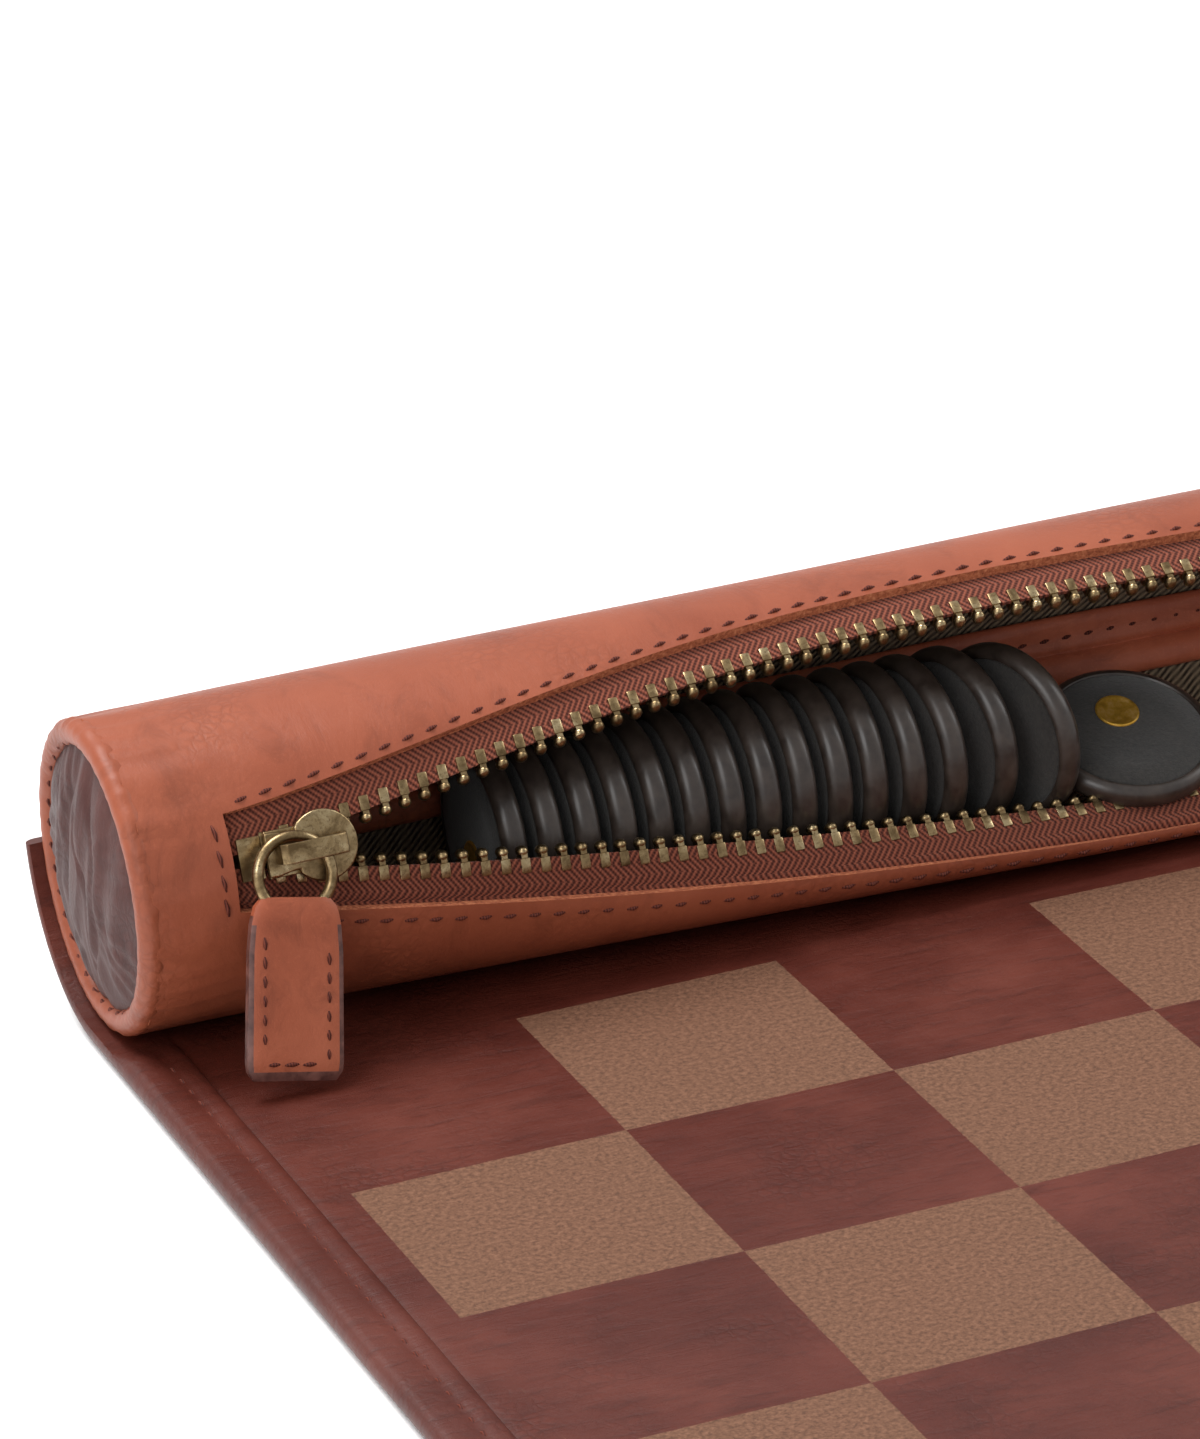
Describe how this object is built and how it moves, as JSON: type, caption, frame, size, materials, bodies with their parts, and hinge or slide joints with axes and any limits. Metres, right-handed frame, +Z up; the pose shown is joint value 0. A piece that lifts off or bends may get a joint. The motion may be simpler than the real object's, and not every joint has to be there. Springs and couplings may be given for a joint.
{
  "type": "roll-up board game mat with zip pouch",
  "caption": "Roll-up leather chequered games mat with a zipped tube pouch along one edge that holds round playing discs.",
  "frame": {"origin": "centre of the underside, on the surface that the unrolled mat lies on", "axes": "+X along the pouch, +Y from the player towards the pouch, +Z up"},
  "size_m": [0.306, 0.3372, 0.0424],
  "materials": {
    "tan_leather": "smooth waxed cognac leather with creases",
    "mat_leather": "red-brown leather with fine wrinkles",
    "end_leather": "plum-brown padded leather",
    "light_print": "tan suede-like squares",
    "lining_twill": "dark olive-brown twill",
    "zip_tape": "dark red-brown herringbone tape",
    "antique_brass": "aged brass",
    "stiffener_board": "plain board",
    "dark_disc": "black-brown suede faces and polished edge",
    "light_disc": "tan suede faces and polished edge",
    "gold_dot": "gold foil"
  },
  "bodies": {
    "pouch": {"pouch_leather": "tan_leather", "pouch_lining": "lining_twill", "inner_seam_strip": "tan_leather", "left_end_cap": "end_leather", "right_end_cap": "end_leather", "left_rim": "tan_leather", "right_rim": "tan_leather", "left_stiffener": "stiffener_board", "right_stiffener": "stiffener_board", "zip_tape_upper": "zip_tape", "zip_tape_lower": "zip_tape", "zip_teeth_upper": "antique_brass", "zip_teeth_lower": "antique_brass", "zip_bottom_stop": "antique_brass", "zip_top_stops": "antique_brass", "mat_base": "mat_leather", "base_squares": "light_print", "light_discs": "light_disc", "dark_disc_dots": "gold_dot", "light_disc_dots": "gold_dot", "dark_disc_1": "dark_disc", "dark_disc_2": "dark_disc", "dark_disc_3": "dark_disc", "dark_disc_4": "dark_disc", "dark_disc_5": "dark_disc", "dark_disc_6": "dark_disc", "dark_disc_7": "dark_disc", "dark_disc_8": "dark_disc", "dark_disc_9": "dark_disc", "dark_disc_10": "dark_disc", "dark_disc_11": "dark_disc", "dark_disc_12": "dark_disc", "dark_disc_13": "dark_disc", "dark_disc_14": "dark_disc", "dark_disc_15": "dark_disc", "dark_disc_16": "dark_disc"},
    "slider": {"slider_body": "antique_brass", "slider_bridge": "antique_brass"},
    "pull": {"pull_ring": "antique_brass", "pull_tab": "tan_leather"},
    "mat_1": {"mat_strip_1": "mat_leather", "strip_squares_1": "light_print"},
    "mat_2": {"mat_strip_2": "mat_leather", "strip_squares_2": "light_print"},
    "mat_3": {"mat_strip_3": "mat_leather", "strip_squares_3": "light_print"},
    "mat_4": {"mat_strip_4": "mat_leather", "strip_squares_4": "light_print"},
    "mat_5": {"mat_strip_5": "mat_leather", "strip_squares_5": "light_print"},
    "mat_6": {"mat_strip_6": "mat_leather", "strip_squares_6": "light_print"},
    "mat_7": {"mat_strip_7": "mat_leather", "strip_squares_7": "light_print"},
    "mat_8": {"mat_strip_8": "mat_leather", "strip_squares_8": "light_print"}
  },
  "joints": [
    {"name": "mat_roll", "type": "hinge", "parent": "mat_8", "child": "mat_7", "pos_m": [0, -0.13361, 0.0034], "axis": [1, 0, 0], "range_deg": [0, 45]},
    {"name": "mat_roll_7", "type": "hinge", "parent": "mat_7", "child": "mat_6", "pos_m": [0, -0.09851, 0.0034], "axis": [1, 0, 0], "range_deg": [0, 65]},
    {"name": "mat_roll_6", "type": "hinge", "parent": "mat_6", "child": "mat_5", "pos_m": [0, -0.06342, 0.0034], "axis": [1, 0, 0], "range_deg": [0, 50]},
    {"name": "mat_roll_5", "type": "hinge", "parent": "mat_5", "child": "mat_4", "pos_m": [0, -0.02832, 0.0034], "axis": [1, 0, 0], "range_deg": [0, 55]},
    {"name": "mat_roll_4", "type": "hinge", "parent": "mat_4", "child": "mat_3", "pos_m": [0, 0.00677, 0.0034], "axis": [1, 0, 0], "range_deg": [0, 70]},
    {"name": "mat_roll_3", "type": "hinge", "parent": "mat_3", "child": "mat_2", "pos_m": [0, 0.04186, 0.0034], "axis": [1, 0, 0], "range_deg": [0, 55]},
    {"name": "mat_roll_2", "type": "hinge", "parent": "mat_2", "child": "mat_1", "pos_m": [0, 0.07696, 0.0034], "axis": [1, 0, 0], "range_deg": [0, 65]},
    {"name": "mat_roll_1", "type": "hinge", "parent": "mat_1", "child": "pouch", "pos_m": [0, 0.11205, 0.0034], "axis": [1, 0, 0], "range_deg": [0, 85]},
    {"name": "zip_slide", "type": "slide", "parent": "pouch", "child": "slider", "axis": [1, 0, 0], "range_m": [0, 0.2461]},
    {"name": "pull_swing", "type": "hinge", "parent": "slider", "child": "pull", "pos_m": [-0.132, 0.12508, 0.02725], "axis": [0, -0.9397, 0.342], "range_deg": [-24, 46]}
  ],
  "couplings": [
    {"joint": "mat_roll_7", "follows": "mat_roll", "ratio": 1.4444},
    {"joint": "mat_roll_6", "follows": "mat_roll", "ratio": 1.1111},
    {"joint": "mat_roll_5", "follows": "mat_roll", "ratio": 1.2222},
    {"joint": "mat_roll_4", "follows": "mat_roll", "ratio": 1.5556},
    {"joint": "mat_roll_3", "follows": "mat_roll", "ratio": 1.2222},
    {"joint": "mat_roll_2", "follows": "mat_roll", "ratio": 1.4444},
    {"joint": "mat_roll_1", "follows": "mat_roll", "ratio": 1.8889}
  ]
}
